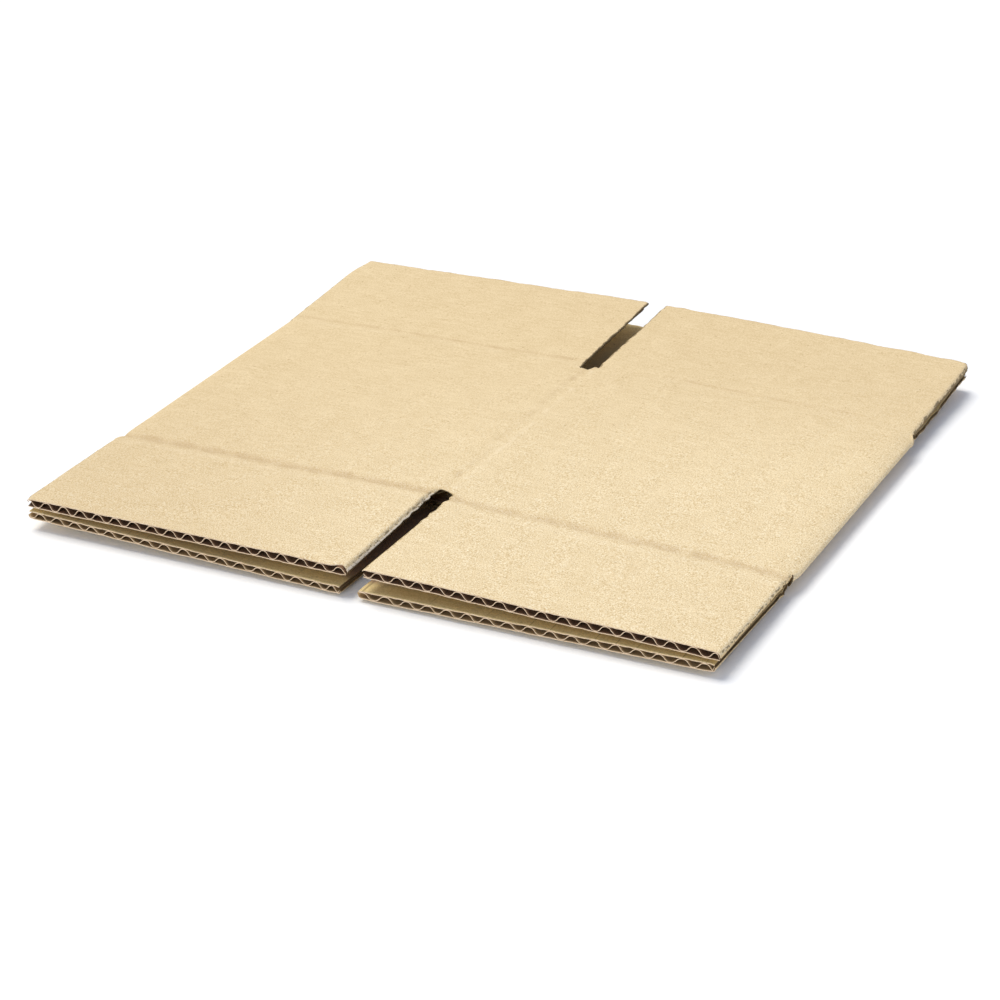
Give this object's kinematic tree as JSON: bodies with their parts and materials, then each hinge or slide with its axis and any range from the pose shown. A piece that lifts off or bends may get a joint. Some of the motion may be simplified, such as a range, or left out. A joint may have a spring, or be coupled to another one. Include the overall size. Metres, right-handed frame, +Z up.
{
  "type": "flattened cardboard box",
  "caption": "Small kraft corrugated carton folded flat, with slotted end flaps, pressed creases, rounded side folds and open flutes at the cut edges.",
  "frame": {"origin": "centre of the underside of the bounding box, on the table", "axes": "+X from the left fold to the right fold, +Y along the flutes from the near flaps to the far flaps, +Z up"},
  "size_m": [0.21, 0.208, 0.0113],
  "materials": {
    "kraft_board": "matte unbleached kraft paper"
  },
  "bodies": {
    "root": {"flattened_carton": "kraft_board"}
  },
  "joints": []
}
